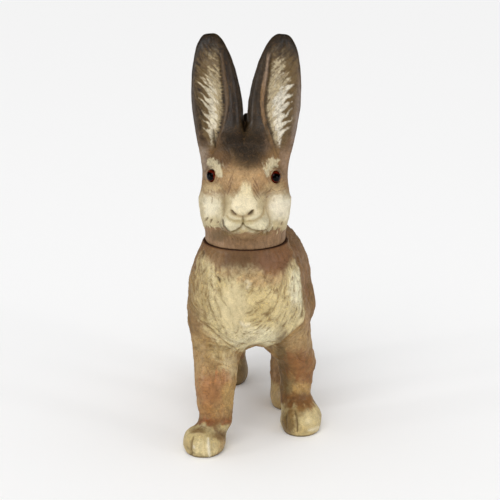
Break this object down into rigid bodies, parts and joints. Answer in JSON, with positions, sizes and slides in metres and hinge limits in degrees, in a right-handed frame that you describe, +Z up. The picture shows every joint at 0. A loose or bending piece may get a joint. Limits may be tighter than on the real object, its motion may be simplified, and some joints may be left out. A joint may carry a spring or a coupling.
{
  "type": "hare figurine sweets container",
  "caption": "Standing hare figurine of painted papier-mache with a hollow trunk and a head that lifts off a card neck tube, for holding sweets.",
  "frame": {"origin": "on the floor, under the middle of the whole hare's bounding box", "axes": "+Z up, which is also the longest way; the hare faces -Y, so its own left side is +X"},
  "size_m": [0.1092, 0.2086, 0.3181],
  "materials": {
    "painted_moulding": "matt painted",
    "card": "matt",
    "lining_paper": "matt",
    "eye_glass": "polished",
    "eye_pupil": "polished",
    "putty": "matt"
  },
  "bodies": {
    "body": {"body_half_left": "painted_moulding", "body_half_right": "painted_moulding", "body_joint_paper": "lining_paper", "neck_tube": "card"},
    "head": {"eye_glass_left": "eye_glass", "eye_glass_right": "eye_glass", "eye_pupil_left": "eye_pupil", "eye_pupil_right": "eye_pupil", "eye_putty_left": "putty", "eye_putty_right": "putty", "head_face_half": "painted_moulding", "head_joint_paper": "lining_paper", "head_nape_half": "painted_moulding", "head_sleeve": "card"}
  },
  "joints": [
    {"name": "head_lift", "type": "slide", "parent": "body", "child": "head", "axis": [0, 0, 1], "range_m": [0, 0.07]}
  ]
}
